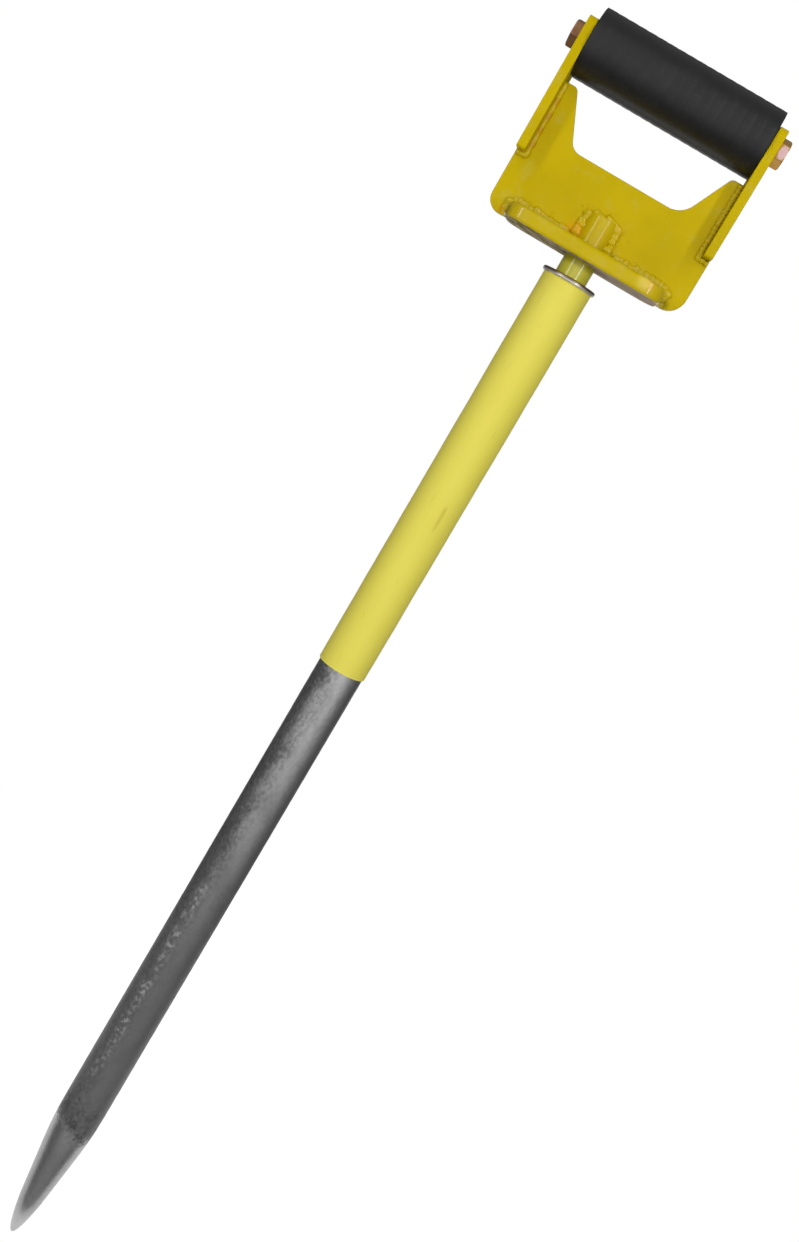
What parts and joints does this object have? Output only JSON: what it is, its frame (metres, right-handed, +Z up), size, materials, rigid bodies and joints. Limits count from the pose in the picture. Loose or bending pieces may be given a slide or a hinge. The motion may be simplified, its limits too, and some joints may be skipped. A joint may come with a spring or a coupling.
{
  "type": "digging bar",
  "caption": "Pointed round steel digging bar with a plastic hand sleeve and a welded D-handle that swivels on the bar and carries a turning rubber grip.",
  "frame": {"origin": "tip of the digging point", "axes": "+Z up the bar towards the handle, X along the grip, -Y out of the front of the yoke plate"},
  "size_m": [0.1534, 0.059, 0.9265],
  "materials": {
    "mill_scale_steel": "hot-rolled mill scale, ground bright at the point",
    "sleeve_plastic": "satin shrink sleeve",
    "zinc_plate": "bare zinc plate",
    "yellow_paint": "gloss paint over welded steel",
    "yellow_zinc": "yellow-passivated zinc plate",
    "turned_steel": "turned steel",
    "black_rubber": "matt moulded rubber",
    "bush_plastic": "plain bush plastic"
  },
  "bodies": {
    "shaft": {"digging_bar": "mill_scale_steel", "hand_sleeve": "sleeve_plastic", "stem_pin": "turned_steel", "stem_washer": "zinc_plate"},
    "head": {"head_stem": "yellow_paint", "base_bar": "yellow_paint", "yoke_plate": "yellow_paint", "left_side_bar": "yellow_paint", "right_side_bar": "yellow_paint", "left_bar_front_weld": "yellow_paint", "left_bar_rear_weld": "yellow_paint", "right_bar_front_weld": "yellow_paint", "right_bar_rear_weld": "yellow_paint", "base_front_weld": "yellow_paint", "base_rear_weld": "yellow_paint", "stem_front_weld": "yellow_paint", "stem_rear_weld": "yellow_paint", "grip_core": "turned_steel", "left_grip_bolt": "yellow_zinc", "right_grip_bolt": "yellow_zinc"},
    "grip": {"grip_tube": "turned_steel", "grip_rubber": "black_rubber", "left_grip_bush": "bush_plastic", "right_grip_bush": "bush_plastic"}
  },
  "joints": [
    {"name": "head_swivel", "type": "hinge", "parent": "shaft", "child": "head", "pos_m": [0, 0, 0.774], "axis": [0, 0, 1], "continuous": true},
    {"name": "grip_spin", "type": "hinge", "parent": "head", "child": "grip", "pos_m": [0, 0, 0.9035], "axis": [1, 0, 0], "continuous": true}
  ]
}
